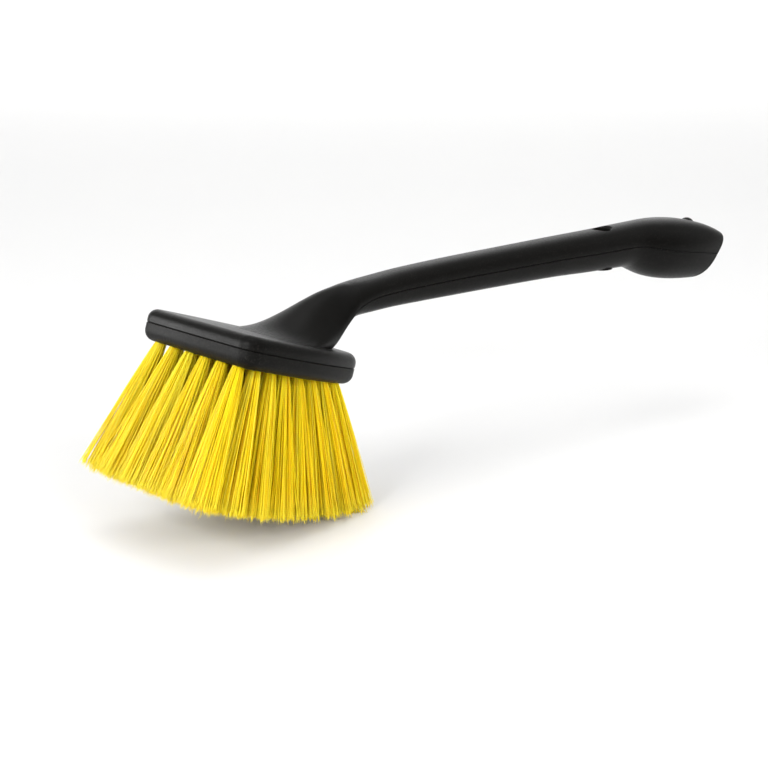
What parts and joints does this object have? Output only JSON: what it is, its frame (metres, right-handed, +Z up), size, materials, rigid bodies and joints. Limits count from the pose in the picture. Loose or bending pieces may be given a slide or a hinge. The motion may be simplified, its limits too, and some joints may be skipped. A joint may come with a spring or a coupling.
{
  "type": "wheel brush",
  "caption": "Hand wheel brush: a long moulded handle with a knob end and hanging hole, flared into a shield-shaped head with fanned yellow bristle tufts.",
  "frame": {"origin": "middle of the brush's bounding box, on the floor it rests on", "axes": "+X from the bristle head's front edge towards the handle's knob, +Y to the brush's left seen from the head looking along the handle, +Z up; stored resting on the rear tufts with the head tipped back 18 degrees"},
  "size_m": [0.4738, 0.1038, 0.1324],
  "materials": {
    "black_plastic": "moulded black plastic, satin with a fine grain",
    "grained_plastic": "moulded black plastic, coarser spark grain",
    "plug_plastic": "black plastic, smooth dome",
    "bristle": "yellow extruded filament with split, flagged tips",
    "anchor_wire": "flat drawn wire"
  },
  "bodies": {
    "root": {"anchors_front": "anchor_wire", "anchors_rear": "anchor_wire", "bristle_block": "black_plastic", "end_cap": "grained_plastic", "grip_lower": "black_plastic", "grip_upper": "black_plastic", "hang_eye_lower": "black_plastic", "hang_eye_upper": "black_plastic", "head_shell": "black_plastic", "knob_lower": "black_plastic", "knob_upper": "black_plastic", "tuft_1_1": "bristle", "tuft_1_2": "bristle", "tuft_1_3": "bristle", "tuft_1_4": "bristle", "tuft_1_5": "bristle", "tuft_1_6": "bristle", "tuft_2_1": "bristle", "tuft_2_2": "bristle", "tuft_2_3": "bristle", "tuft_2_4": "bristle", "tuft_2_5": "bristle", "tuft_2_6": "bristle", "tuft_3_1": "bristle", "tuft_3_2": "bristle", "tuft_3_3": "bristle", "tuft_3_4": "bristle", "tuft_3_5": "bristle", "tuft_3_6": "bristle", "tuft_4_1": "bristle", "tuft_4_2": "bristle", "tuft_4_3": "bristle", "tuft_4_4": "bristle", "tuft_4_5": "bristle", "tuft_5_1": "bristle", "tuft_5_2": "bristle", "tuft_5_3": "bristle", "tuft_5_4": "bristle", "tuft_5_5": "bristle", "tuft_6_1": "bristle", "tuft_6_2": "bristle", "tuft_6_3": "bristle", "tuft_6_4": "bristle", "tuft_6_5": "bristle", "tuft_7_1": "bristle", "tuft_7_2": "bristle", "tuft_7_3": "bristle", "tuft_7_4": "bristle", "tuft_8_1": "bristle", "tuft_8_2": "bristle", "tuft_8_3": "bristle", "vent_plug": "plug_plastic"}
  },
  "joints": []
}
